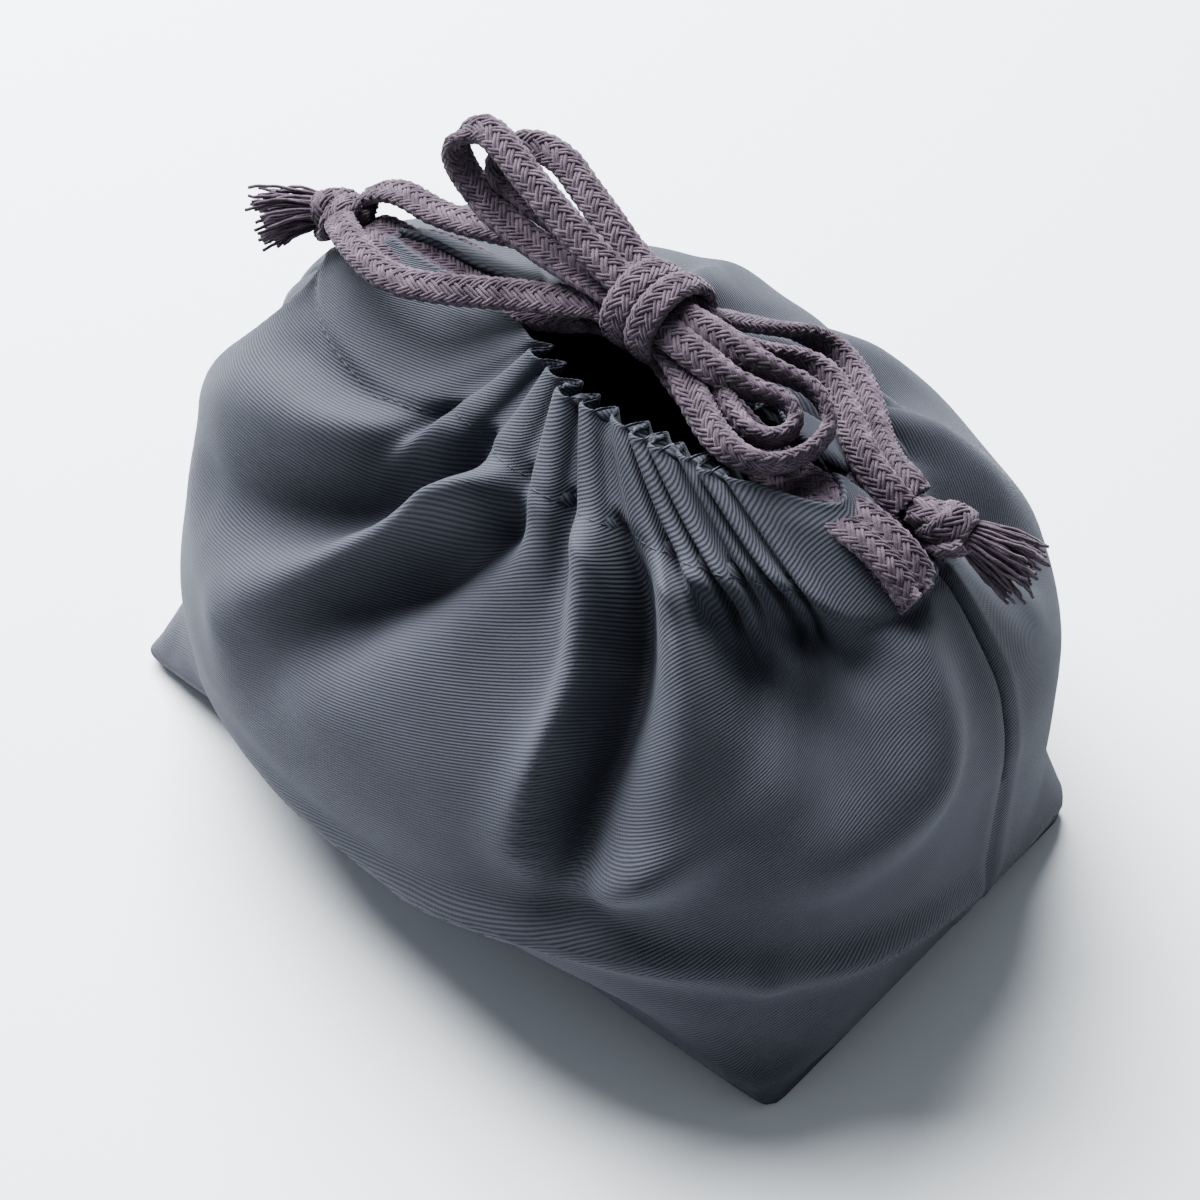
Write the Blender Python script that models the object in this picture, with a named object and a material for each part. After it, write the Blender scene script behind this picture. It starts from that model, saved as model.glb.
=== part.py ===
"""Kinchaku drawstring pouch: one sewn cloth body with a folded-over casing, and two braided drawcords tied in a bow.

Metres, +Z up. The origin is the centre of the flat base; +X runs along the mouth, -Y is the front.
"""

import math

import bmesh
import bpy
import numpy as np

MM = 0.001

# Driving dimensions, in millimetres
BASE_LENGTH = 200.0
BASE_DEPTH = 111.0
CLOTH = 1.2          # cloth with its turned seam allowances
RIM_HEIGHT = 126.0
VENT_WIDTH = 12.0    # slit at each side seam where the cords come out
VENT_START = 40.0
VENT_BOTTOM = 103.0
CORD = 4.4           # round section with the area of the 7 x 3 mm flat braid
CORD_SIDES = 3       # bevel_resolution of the cord tubes

# Outer sections of the cloth: height, then the reach to the left, right, front and back of the axis,
# then the squareness of the front-left, front-right, back-right and back-left quarter.
SECTIONS = (
    (0.0, BASE_LENGTH / 2, BASE_LENGTH / 2, BASE_DEPTH / 2, BASE_DEPTH / 2, 40.0, 40.0, 40.0, 40.0),
    (2.0, 100.0, 100.0, 56.5, 56.0, 40.0, 40.0, 40.0, 40.0),
    (6.0, 100.0, 101.5, 61.0, 58.5, 12.0, 16.0, 16.0, 16.0),
    (11.0, 100.5, 104.0, 67.0, 62.5, 5.5, 8.0, 7.0, 7.0),
    (17.0, 101.5, 105.0, 72.5, 66.5, 3.4, 5.0, 4.5, 4.5),
    (25.0, 103.0, 106.0, 77.0, 71.0, 2.5, 3.6, 3.2, 3.4),
    (45.0, 105.0, 106.0, 82.0, 79.0, 2.2, 2.7, 2.8, 2.7),
    (62.0, 104.0, 106.0, 80.0, 82.5, 2.1, 2.4, 2.6, 2.5),
    (80.0, 100.0, 103.0, 70.0, 79.0, 2.1, 2.3, 2.4, 2.3),
    (96.0, 91.0, 95.0, 53.0, 66.0, 2.1, 2.2, 2.2, 2.2),
    (109.0, 79.0, 86.0, 35.0, 45.0, 2.0, 2.1, 2.1, 2.1),
    (118.0, 70.0, 76.0, 22.0, 28.0, 2.0, 2.0, 2.0, 2.0),
    (RIM_HEIGHT, 62.0, 67.0, 13.0, 15.0, 2.0, 2.0, 2.0, 2.0),
)
RING_HEIGHTS = (0.0, 2.0, 6.0, 11.0, 17.0, 25.0, 35.0, 45.0, 54.0, 62.0, 71.0, 80.0, 88.0, 96.0, 103.0, 109.0, 114.0,
                118.0, 122.0, RIM_HEIGHT)
SIDE_STEPS = 12      # ring points along each long side of the base
END_STEPS = 8        # ring points along each short end

# The casing's inner layer, folded down inside the mouth from the rim to its hem: height, left, right, front, back
CASING_FOLD = (
    (127.2, 59.5, 64.5, 11.4, 13.4),
    (125.6, 57.3, 62.3, 9.2, 11.2),
    (121.0, 57.0, 62.0, 9.0, 11.0),
    (116.0, 57.5, 62.5, 9.2, 11.5),
    (111.0, 60.0, 65.5, 12.0, 15.0),
    (106.0, 66.0, 72.0, 21.0, 27.0),
    (102.0, 75.0, 80.5, 36.0, 45.0),
)

# Routes of the drawcords through the casing: the height and how far they stand in from the outer cloth
CASING_RUNS = {"left_cord_in_casing": (110.5, 10.5), "right_cord_in_casing": (117.0, 7.6)}

# Routes of the free cord stretches, in millimetres: lead from the vent to the bow, loop, and tail to the end knot
ROUTES = {
    "left_lead_a": ((-70, -2.6, 118.5), (-66, -2.6, 121.2), (-58, -2.6, 121.9), (-47, -2.5, 122),
                    (-34, -2, 122.2), (-20, -0.4, 123.8), (-9, 3, 126.4), (-3.5, 5, 128.4)),
    "left_lead_b": ((-70, 2.6, 118.5), (-66, 2.6, 121.2), (-58, 2.6, 121.9), (-47, 2.7, 122),
                    (-34, 3, 122.2), (-20, 4.8, 124), (-9, 8.4, 126.6), (-3.5, 10.8, 128.4)),
    "left_tail_a": ((-1.5, 13, 136.5), (-5, 13, 136), (-18, 13, 134), (-31, 11, 132.5), (-42, 8, 131.5),
                    (-52, 6, 131), (-62, 6.3, 130.3), (-68, 5.8, 128.3), (-73, 4.5, 124.5)),
    "left_tail_b": ((-3, 4, 134.5), (-8, 1.8, 133.5), (-20, -3.5, 132), (-32, -10.5, 131),
                    (-42, -14.5, 130), (-51, -14.5, 129), (-60, -11.5, 128), (-68, -7.5, 126),
                    (-73, -4, 123.5)),
    "left_loop_a": ((1, 13.4, 141.5), (-4, 14.2, 143), (-11, 16, 145.5), (-19.5, 18.5, 147.5),
                    (-27, 20.5, 149.5), (-33.5, 19.8, 150.5), (-37, 16.5, 150.5), (-38, 12.8, 149),
                    (-36.5, 11.2, 146.5), (-33, 12, 144.3), (-27, 12, 142.8), (-17, 12, 141.7),
                    (-8, 11.8, 141), (-2, 11.4, 141)),
    "left_loop_b": ((0, 6, 143.2), (-8, 6.2, 146), (-17.5, 7.2, 149.5), (-28, 9, 153), (-35.5, 10.8, 155),
                    (-41.5, 11.5, 155.8), (-45, 9.3, 154.5), (-45.8, 6.8, 151.5), (-44, 6.5, 147.5),
                    (-39.5, 6.5, 143.5), (-34, 6, 141), (-25, 5.5, 139.4), (-14, 5.2, 138.8),
                    (-3, 5.2, 139)),
    "right_loop_a": ((19.5, 3.4, 132.6), (27.5, -1, 131), (37, -5.8, 130), (45, -7.6, 130), (51, -5.8, 130),
                     (54.5, -0.5, 130), (55.5, 5, 130.5), (54.5, 10, 131.8), (50.8, 12.5, 133.8),
                     (46, 12.5, 136), (40, 10, 137.8), (33.5, 8.6, 139), (22.5, 8.4, 139.5)),
    "right_loop_b": ((20.5, 8.6, 133.3), (28.5, 4.6, 132.2), (37.5, 0, 131.3), (43.5, -1.7, 131),
                     (47.5, -0.5, 131), (49.6, 2.5, 131.5), (49, 5.8, 132.5), (46.6, 7.2, 134),
                     (43.5, 6.8, 134.8), (38.5, 5, 135.2), (33, 3.5, 135.9), (22, 3.6, 137.3)),
    "right_tail_a": ((17, 17, 134.5), (19.5, 20.5, 132.3), (23.5, 27.5, 128), (28, 35.5, 123.5),
                     (34, 38.5, 120), (42, 36, 119), (50, 30.5, 119), (57.5, 24, 119.3),
                     (64.5, 18.8, 120.2), (70, 16.6, 120.8), (73.5, 15.6, 119.6)),
    "right_tail_b": ((20, 13, 134), (23, 16.3, 132), (28.5, 21, 129), (35, 25, 127), (41, 26, 125.7),
                     (47.5, 23.3, 125.2), (54, 18.5, 125.2), (60.5, 13.8, 125.2), (66, 11.4, 123.8),
                     (70.5, 10.6, 121.8), (73.5, 10.8, 120)),
    "right_lead_a": ((86, -2.6, 113.5), (81.5, -2.6, 118.2), (74, -2.6, 121.2), (65, -2.5, 122),
                    (54, -2.2, 122), (43, -1.2, 122.4), (31, 1, 124.8), (21, 3, 127.6)),
    "right_lead_b": ((86, 2.6, 113.5), (81.5, 2.6, 118.2), (74, 2.6, 121.2), (65, 2.7, 122),
                    (54, 2.9, 122), (43, 4, 122.6), (31, 5.8, 125.2), (21, 8.2, 128.2)),
}

BOW_KNOT = (9.0, 9.5, 135.5)
BOW_KNOT_RADII = (9.5, 8.0, 8.0)
END_KNOTS = {"left_end_knot": (-81.0, 2.5, 120.0), "right_end_knot": (82.0, 15.0, 117.2)}
END_KNOT_RADIUS = 6.0
# Tassels: the point where the yarns leave the knot, and the frayed end
TASSELS = {
    "left_tassel": ((-86.0, -1.6, 119.2), (-99.0, -12.0, 116.5)),
    "right_tassel": ((87.0, 17.6, 113.6), (102.0, 25.0, 105.0)),
}
TASSEL_NECK = 2.6
TASSEL_END = 6.0

SLATE = (0.045, 0.052, 0.062, 1.0)
MAUVE = (0.100, 0.078, 0.098, 1.0)


def clear_scene():
    for obj in list(bpy.data.objects):
        bpy.data.objects.remove(obj, do_unlink=True)


def cloth_material(name, colour, roughness):
    material = bpy.data.materials.new(name)
    material.use_nodes = True
    shader = material.node_tree.nodes["Principled BSDF"]
    shader.inputs["Base Color"].default_value = colour
    shader.inputs["Roughness"].default_value = roughness
    shader.inputs["Metallic"].default_value = 0.0
    return material


def section_at(height):
    """The eight numbers of the cloth's section at a height."""
    table = np.array(SECTIONS)
    return [float(np.interp(height, table[:, 0], table[:, column])) for column in range(1, 9)]


def ring_directions():
    """Polar angles of evenly spaced points round the base rectangle, corners included."""
    half_length, half_depth = BASE_LENGTH / 2, BASE_DEPTH / 2
    along = [-half_length + BASE_LENGTH * i / SIDE_STEPS for i in range(SIDE_STEPS)]
    across = [-half_depth + BASE_DEPTH * i / END_STEPS for i in range(END_STEPS)]
    corners = [(x, -half_depth) for x in along] + [(half_length, y) for y in across]
    corners += [(-x, half_depth) for x in along] + [(-half_length, -y) for y in across]
    return [math.atan2(y, x) for x, y in corners]


def direction_point(angle, height, reaches, powers):
    """A point of a section in one direction: reaches and powers are those of the four sides and four quarters."""
    left, right, front, back = reaches
    front_left, front_right, back_right, back_left = powers
    cosine, sine = math.cos(angle), math.sin(angle)
    reach_x = right if cosine > 0 else left
    reach_y = back if sine > 0 else front
    if sine > 0:
        power = back_right if cosine > 0 else back_left
    else:
        power = front_right if cosine > 0 else front_left
    radius = ((abs(cosine) / reach_x) ** power + (abs(sine) / reach_y) ** power) ** (-1.0 / power)
    return radius * cosine, radius * sine, height


def ring_point(angle, height, inset=0.0):
    """A point of the outer section in one direction, moved in by the inset."""
    numbers = section_at(height)
    return direction_point(angle, height, [reach - inset for reach in numbers[:4]], numbers[4:])


def cloth_rings():
    """Rings of the cloth's outer face: up the sides to the rim, then down the casing's inner layer."""
    directions = ring_directions()
    rings = [[ring_point(angle, height) for angle in directions] for height in RING_HEIGHTS]
    for height, *reaches in CASING_FOLD:
        rings.append([direction_point(angle, height, reaches, (2.0,) * 4) for angle in directions])
    return rings


def make_body(material):
    """The cloth body with its boxed base, gathered shoulders and folded-over casing, open at the mouth."""
    mesh = bpy.data.meshes.new("pouch_body")
    work = bmesh.new()
    loops = [[work.verts.new([value * MM for value in point]) for point in ring] for ring in cloth_rings()]
    count = len(loops[0])
    for lower, upper in zip(loops, loops[1:]):
        for i in range(count):
            j = (i + 1) % count
            work.faces.new((lower[i], lower[j], upper[j], upper[i]))
    centre = work.verts.new((0.0, 0.0, 0.0))
    for i in range(count):
        work.faces.new((loops[0][(i + 1) % count], loops[0][i], centre))
    work.to_mesh(mesh)
    work.free()
    mesh.materials.append(material)
    body = bpy.data.objects.new("pouch_body", mesh)
    bpy.context.collection.objects.link(body)
    wall = body.modifiers.new("cloth thickness", "SOLIDIFY")
    wall.thickness = CLOTH * MM
    wall.offset = -1.0
    wall.use_even_offset = False
    for side in (-1, 1):
        vent = body.modifiers.new("vent", "BOOLEAN")
        vent.operation = "DIFFERENCE"
        vent.object = vent_cutter(side)
    return body


def vent_cutter(side):
    """The slit at a side seam, through both layers of the casing."""
    mesh = bpy.data.meshes.new("vent_cutter")
    work = bmesh.new()
    bmesh.ops.create_cube(work, size=1.0)
    length, height = 60.0, 40.0
    for vertex in work.verts:
        vertex.co.x = (vertex.co.x * length + side * (VENT_START + length / 2)) * MM
        vertex.co.y = vertex.co.y * VENT_WIDTH * MM
        vertex.co.z = (vertex.co.z * height + VENT_BOTTOM + height / 2) * MM
    work.to_mesh(mesh)
    work.free()
    cutter = bpy.data.objects.new("vent_cutter_left" if side < 0 else "vent_cutter_right", mesh)
    bpy.context.collection.objects.link(cutter)
    cutter.hide_render = True
    cutter.display_type = "WIRE"
    return cutter


def smooth_route(points, spacing=CORD * 1.3):
    """Evenly spaced points on the smooth curve (Catmull-Rom) through the route's own points."""
    points = np.array(points, float)
    padded = np.vstack([2 * points[0] - points[1], points, 2 * points[-1] - points[-2]])
    dense = []
    for i in range(1, len(padded) - 2):
        a, b, c, d = padded[i - 1:i + 3]
        for t in np.linspace(0.0, 1.0, 16, endpoint=False):
            dense.append(0.5 * (2 * b + (c - a) * t + (2 * a - 5 * b + 4 * c - d) * t * t
                                + (3 * b - a - 3 * c + d) * t ** 3))
    dense = np.array(dense + [points[-1]])
    travelled = np.concatenate([[0.0], np.cumsum(np.linalg.norm(np.diff(dense, axis=0), axis=1))])
    steps = max(4, int(round(travelled[-1] / spacing)))
    wanted = np.linspace(0.0, travelled[-1], steps + 1)
    return np.stack([np.interp(wanted, travelled, dense[:, axis]) for axis in range(3)], axis=1)


def make_cord(name, points, material):
    """A plain tube along a route."""
    curve = bpy.data.curves.new(name, "CURVE")
    curve.dimensions = "3D"
    curve.bevel_depth = CORD / 2 * MM
    curve.bevel_resolution = CORD_SIDES
    curve.use_fill_caps = True
    spline = curve.splines.new("POLY")
    spline.points.add(len(points) - 1)
    for target, point in zip(spline.points, points):
        target.co = (*(point * MM), 1.0)
    curve.materials.append(material)
    cord = bpy.data.objects.new(name, curve)
    bpy.context.collection.objects.link(cord)


def casing_route(height, inset, open_side):
    """A cord's hidden run round the casing, open at the vent that it comes out of."""
    gap = 0.16
    start = math.pi + gap if open_side < 0 else gap
    sweep = 2 * math.pi - 2 * gap
    steps = 72
    angles = [start + sweep * i / steps for i in range(steps + 1)]
    return [ring_point(math.atan2(math.sin(a) * 0.42, math.cos(a)), height, inset) for a in angles]


def make_knot(name, centre, radii, material):
    """The outer shape of a pulled-up knot."""
    mesh = bpy.data.meshes.new(name)
    work = bmesh.new()
    bmesh.ops.create_uvsphere(work, u_segments=20, v_segments=12, radius=1.0)
    for vertex in work.verts:
        vertex.co = [(c + v * r) * MM for c, v, r in zip(centre, vertex.co, radii)]
    work.to_mesh(mesh)
    work.free()
    mesh.materials.append(material)
    mesh.shade_smooth()
    knot = bpy.data.objects.new(name, mesh)
    bpy.context.collection.objects.link(knot)


def make_tassel(name, neck, end, material):
    """The outer shape of a frayed cord end: a cone that widens away from its knot."""
    curve = bpy.data.curves.new(name, "CURVE")
    curve.dimensions = "3D"
    curve.bevel_depth = MM
    curve.bevel_resolution = CORD_SIDES
    curve.use_fill_caps = True
    spline = curve.splines.new("POLY")
    spline.points.add(3)
    for i, target in enumerate(spline.points):
        part = i / 3
        target.co = (*[(a + (b - a) * part) * MM for a, b in zip(neck, end)], 1.0)
        target.radius = TASSEL_NECK + (TASSEL_END - TASSEL_NECK) * part ** 0.7
    curve.materials.append(material)
    tassel = bpy.data.objects.new(name, curve)
    bpy.context.collection.objects.link(tassel)


def main():
    clear_scene()
    slate = cloth_material("slate_twill", SLATE, 0.85)
    mauve = cloth_material("mauve_braid", MAUVE, 0.9)
    make_body(slate)
    for name, (height, inset) in CASING_RUNS.items():
        side = -1 if name.startswith("left") else 1
        make_cord(name, np.array(casing_route(height, inset, side)), mauve)
    for name, points in ROUTES.items():
        make_cord(name, smooth_route(points), mauve)
    make_knot("bow_knot", BOW_KNOT, BOW_KNOT_RADII, mauve)
    for name, centre in END_KNOTS.items():
        make_knot(name, centre, (END_KNOT_RADIUS,) * 3, mauve)
    for name, (neck, end) in TASSELS.items():
        make_tassel(name, neck, end, mauve)


main()
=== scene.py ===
import math

import bmesh
import bpy
import numpy as np
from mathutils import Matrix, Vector


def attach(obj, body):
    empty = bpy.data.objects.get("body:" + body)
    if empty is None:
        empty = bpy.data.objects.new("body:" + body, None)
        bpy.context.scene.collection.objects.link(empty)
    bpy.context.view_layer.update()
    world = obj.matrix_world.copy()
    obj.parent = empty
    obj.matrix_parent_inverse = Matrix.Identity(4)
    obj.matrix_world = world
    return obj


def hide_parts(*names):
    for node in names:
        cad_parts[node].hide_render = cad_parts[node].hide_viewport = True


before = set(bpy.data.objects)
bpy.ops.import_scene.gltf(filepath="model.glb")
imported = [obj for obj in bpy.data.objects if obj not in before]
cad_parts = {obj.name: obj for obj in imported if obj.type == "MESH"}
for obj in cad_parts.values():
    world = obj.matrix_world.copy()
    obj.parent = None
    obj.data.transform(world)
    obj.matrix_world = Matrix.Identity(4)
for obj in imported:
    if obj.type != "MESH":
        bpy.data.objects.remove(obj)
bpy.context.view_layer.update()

mm = 0.001

view = {
    "azimuth": 41.6,
    "elevation": 47.6,
    "distance": 0.7183,
    "target": (-0.0282, 0.0331, 0.0),
    "angle": 24.0,
}


def addCamera(s):
    az, el = math.radians(s["azimuth"]), math.radians(s["elevation"])
    back = np.array([math.sin(az) * math.cos(el), -math.cos(az) * math.cos(el), math.sin(el)])
    camera = bpy.data.objects.new("camera", bpy.data.cameras.new("camera"))
    bpy.context.collection.objects.link(camera)
    camera.location = np.array(s["target"]) + back * s["distance"]
    camera.rotation_euler = (math.pi / 2 - el, 0.0, az)
    camera.data.angle = math.radians(s["angle"])
    camera.data.clip_start = 0.01
    bpy.context.scene.camera = camera


light = {
    "windowSize": 1.25,
    "windowPower": 70.0,
    "windowPlace": (-0.68, 0.26, 1.06),
    "fillSize": 1.4,
    "fillPower": 0.5,
    "fillPlace": (0.5, -0.9, 0.9),
    "sky": (0.86, 0.93, 1.0),
    "skyStrength": 0.24,
    "floor": (0.88, 0.90, 0.92),
}


def areaLight(name, place, size, power, colour):
    lamp = bpy.data.lights.new(name, "AREA")
    lamp.shape = "DISK"
    lamp.size = size
    lamp.energy = power
    lamp.color = colour
    thing = bpy.data.objects.new(name, lamp)
    bpy.context.collection.objects.link(thing)
    thing.location = place
    direction = -np.array(place) + np.array((0.0, 0.0, 0.06))
    thing.rotation_euler = Vector(direction).to_track_quat("-Z", "Y").to_euler()


def addStage(s):
    mesh = bpy.data.meshes.new("floor")
    side = 3.0
    mesh.from_pydata([(-side, -side, 0), (side, -side, 0), (side, side, 0), (-side, side, 0)], [], [(0, 1, 2, 3)])
    floor = bpy.data.objects.new("floor", mesh)
    bpy.context.collection.objects.link(floor)
    material = bpy.data.materials.new("paleFloor")
    material.use_nodes = True
    shader = material.node_tree.nodes["Principled BSDF"]
    shader.inputs["Base Color"].default_value = (*s["floor"], 1.0)
    shader.inputs["Roughness"].default_value = 0.7
    mesh.materials.append(material)
    areaLight("window", s["windowPlace"], s["windowSize"], s["windowPower"], (0.96, 0.98, 1.0))
    areaLight("fill", s["fillPlace"], s["fillSize"], s["fillPower"], (0.95, 0.97, 1.0))
    world = bpy.data.worlds.new("softSky")
    world.use_nodes = True
    background = world.node_tree.nodes["Background"]
    background.inputs["Color"].default_value = (*s["sky"], 1.0)
    background.inputs["Strength"].default_value = s["skyStrength"]
    bpy.context.scene.world = world


addCamera(view)
addStage(light)
bpy.context.scene.view_settings.view_transform = "AgX"
bpy.context.scene.view_settings.look = "AgX - Medium High Contrast"
print("camera and light placed")


class Graph:

    def __init__(self, tree):
        self.tree = tree

    def add(self, kind, values=None, **settings):
        node = self.tree.nodes.new(kind)
        for key, value in settings.items():
            setattr(node, key, value)
        for key, value in (values or {}).items():
            self.feed(node, key, value)
        return node

    def feed(self, node, key, value):
        socket = node.inputs[key]
        if isinstance(value, bpy.types.NodeSocket):
            self.tree.links.new(value, socket)
        else:
            socket.default_value = value

    def math(self, operation, *values):
        node = self.add("ShaderNodeMath", operation=operation)
        for i, value in enumerate(values):
            self.feed(node, i, value)
        return node.outputs[0]

    def vector(self, operation, *values):
        node = self.add("ShaderNodeVectorMath", operation=operation)
        for i, value in enumerate(values):
            self.feed(node, i, value)
        return node.outputs[0]

    def scaled(self, vector, factor):
        node = self.add("ShaderNodeVectorMath", operation="SCALE")
        self.feed(node, 0, vector)
        self.feed(node, "Scale", factor)
        return node.outputs[0]


def newTree(name, inputs):
    tree = bpy.data.node_groups.new(name, "GeometryNodeTree")
    tree.interface.new_socket("Geometry", in_out="INPUT", socket_type="NodeSocketGeometry")
    tree.interface.new_socket("Geometry", in_out="OUTPUT", socket_type="NodeSocketGeometry")
    for label, kind, value in inputs:
        socket = tree.interface.new_socket(label, in_out="INPUT", socket_type="NodeSocket" + kind)
        if value is not None:
            socket.default_value = value
    return tree


def setInputs(modifier, **values):
    names = {s.name: s.identifier for s in modifier.node_group.interface.items_tree if s.in_out == "INPUT"}
    for label, value in values.items():
        modifier[names[label]] = value


def applied(name, mesh, tree, values, materials=()):
    source = bpy.data.objects.new(name + "Guide", mesh)
    bpy.context.collection.objects.link(source)
    modifier = source.modifiers.new("nodes", "NODES")
    modifier.node_group = tree
    setInputs(modifier, **values)
    depsgraph = bpy.context.evaluated_depsgraph_get()
    result = bpy.data.meshes.new_from_object(source.evaluated_get(depsgraph))
    source.modifiers.remove(modifier)
    bpy.data.objects.remove(source)
    piece = bpy.data.objects.new(name, result)
    bpy.context.collection.objects.link(piece)
    if not result.materials:
        for material in materials:
            result.materials.append(material)
    return piece


braid = {
    "width": 7.0,
    "thickness": 3.1,
    "pitch": 21.0,
    "carriers": 8,
    "yarnRadius": 0.44,
    "weave": 0.30,
    "pairAngle": 0.36,
    "step": 1.0,
    "wobble": 0.10,
    "colour": (0.105, 0.081, 0.102),
    "shade": (0.034, 0.027, 0.037),
    "light": (0.21, 0.168, 0.20),
}


def braidMaterial(s):
    material = bpy.data.materials.new("mauveBraid")
    material.use_nodes = True
    g = Graph(material.node_tree)
    shader = material.node_tree.nodes["Principled BSDF"]
    place = g.add("ShaderNodeTexCoord").outputs["Object"]
    patch = g.add("ShaderNodeTexNoise", {"Vector": place, "Scale": 260.0, "Detail": 3.0}).outputs["Fac"]
    fibre = g.add("ShaderNodeTexNoise", {"Vector": place, "Scale": 4200.0, "Detail": 2.0}).outputs["Fac"]
    mixed = g.math("ADD", g.math("MULTIPLY", patch, 0.5), g.math("MULTIPLY", fibre, 0.5))
    ramp = g.add("ShaderNodeValToRGB", {"Fac": mixed})
    ramp.color_ramp.elements[0].position = 0.32
    ramp.color_ramp.elements[0].color = (*s["shade"], 1.0)
    ramp.color_ramp.elements[1].position = 0.70
    ramp.color_ramp.elements[1].color = (*s["light"], 1.0)
    middle = ramp.color_ramp.elements.new(0.5)
    middle.color = (*s["colour"], 1.0)
    g.feed(shader, "Base Color", ramp.outputs["Color"])
    bump = g.add("ShaderNodeBump", {"Height": fibre, "Strength": 0.6, "Distance": 0.00025})
    g.feed(shader, "Normal", bump.outputs["Normal"])
    shader.inputs["Roughness"].default_value = 0.92
    shader.inputs["Specular IOR Level"].default_value = 0.2
    shader.inputs["Sheen Weight"].default_value = 0.35
    shader.inputs["Sheen Roughness"].default_value = 0.45
    shader.inputs["Sheen Tint"].default_value = (0.75, 0.66, 0.75, 1.0)
    return material


def braidTree():
    tree = newTree("flatBraid", (
        ("Half Width", "Float", 0.0035), ("Half Thickness", "Float", 0.0015), ("Pitch", "Float", 0.02),
        ("Carriers", "Int", 6), ("Yarn Radius", "Float", 0.0005), ("Weave", "Float", 0.0003),
        ("Pair Angle", "Float", 0.45), ("Wobble", "Float", 0.0001), ("Seed", "Float", 0.0),
        ("Material", "Material", None)))
    g = Graph(tree)
    entry = g.add("NodeGroupInput").outputs
    carriers = entry["Carriers"]
    line = g.add("GeometryNodeMeshToCurve", {"Mesh": entry["Geometry"]}).outputs["Curve"]
    copies = g.add("GeometryNodeDuplicateElements", {"Geometry": line}, domain="SPLINE")
    g.feed(copies, "Amount", g.math("MULTIPLY", carriers, 4.0))
    index = copies.outputs["Duplicate Index"]
    pair = g.math("SUBTRACT", g.math("MODULO", index, 2.0), 0.5)
    way = g.math("SUBTRACT", g.math("MULTIPLY", g.math("MODULO", g.math("FLOOR", g.math("DIVIDE", index, 2.0)), 2.0),
                                    2.0), 1.0)
    number = g.math("FLOOR", g.math("DIVIDE", index, 4.0))

    def attribute(label, kind):
        node = g.add("GeometryNodeInputNamedAttribute", {"Name": label}, data_type=kind)
        return node.outputs["Attribute"]

    along = attribute("along", "FLOAT")
    turns = g.math("MULTIPLY", g.math("DIVIDE", along, entry["Pitch"]), 2 * math.pi)
    start = g.math("MULTIPLY", g.math("DIVIDE", number, carriers), 2 * math.pi)
    angle = g.math("ADD", g.math("ADD", g.math("MULTIPLY", turns, way), start),
                   g.math("MULTIPLY", pair, entry["Pair Angle"]))
    beat = g.math("MULTIPLY", g.math("MULTIPLY", turns, carriers), 0.5)
    beat = g.math("ADD", g.math("MULTIPLY", beat, way), g.math("MULTIPLY", number, math.pi))
    lift = g.math("MULTIPLY", g.math("COSINE", g.math("ADD", beat, math.pi / 4)), entry["Weave"])
    lift = g.math("MULTIPLY", lift, way)
    across = g.math("MULTIPLY", g.math("COSINE", angle),
                    g.math("ADD", g.math("SUBTRACT", entry["Half Width"], entry["Yarn Radius"]), lift))
    sine = g.math("SINE", angle)
    flat = g.math("MULTIPLY", g.math("SIGN", sine), g.math("POWER", g.math("ABSOLUTE", sine), 0.65))
    up = g.math("MULTIPLY", flat, g.math("ADD", g.math("SUBTRACT", entry["Half Thickness"], entry["Yarn Radius"]), lift))
    move = g.vector("ADD", g.scaled(attribute("wide", "FLOAT_VECTOR"), across),
                    g.scaled(attribute("thick", "FLOAT_VECTOR"), up))
    here = g.add("GeometryNodeInputPosition").outputs[0]
    grain = g.add("ShaderNodeTexNoise", {"Vector": here, "Scale": 900.0, "Detail": 1.0,
                                         "W": g.math("ADD", entry["Seed"], index)}, noise_dimensions="4D")
    shake = g.scaled(g.vector("SUBTRACT", grain.outputs["Color"], (0.5, 0.5, 0.5)), entry["Wobble"])
    moved = g.add("GeometryNodeSetPosition", {"Geometry": copies.outputs["Geometry"],
                                              "Offset": g.vector("ADD", move, shake)})
    ring = g.add("GeometryNodeCurvePrimitiveCircle", {"Resolution": 5, "Radius": entry["Yarn Radius"]})
    tube = g.add("GeometryNodeCurveToMesh", {"Curve": moved.outputs[0], "Profile Curve": ring.outputs[0],
                                             "Fill Caps": True})
    smooth = g.add("GeometryNodeSetShadeSmooth", {"Geometry": tube.outputs[0]})
    solid = g.add("GeometryNodeRealizeInstances", {"Geometry": smooth.outputs[0]})
    painted = g.add("GeometryNodeSetMaterial", {"Geometry": solid.outputs[0], "Material": entry["Material"]})
    g.add("NodeGroupOutput", {"Geometry": painted.outputs[0]})
    return tree


def smoothLine(points, step):
    points = np.array(points, float)
    padded = np.vstack([2 * points[0] - points[1], points, 2 * points[-1] - points[-2]])
    dense = []
    for i in range(1, len(padded) - 2):
        a, b, c, d = padded[i - 1:i + 3]
        for t in np.linspace(0.0, 1.0, 24, endpoint=False):
            dense.append(0.5 * (2 * b + (c - a) * t + (2 * a - 5 * b + 4 * c - d) * t * t
                                + (3 * b - a - 3 * c + d) * t ** 3))
    dense = np.array(dense + [points[-1]])
    travelled = np.concatenate([[0.0], np.cumsum(np.linalg.norm(np.diff(dense, axis=0), axis=1))])
    count = max(4, int(round(travelled[-1] / step)))
    wanted = np.linspace(0.0, travelled[-1], count + 1)
    return np.stack([np.interp(wanted, travelled, dense[:, k]) for k in range(3)], axis=1), wanted


def unit(v):
    return v / np.maximum(np.linalg.norm(v, axis=-1, keepdims=True), 1e-9)


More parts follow.
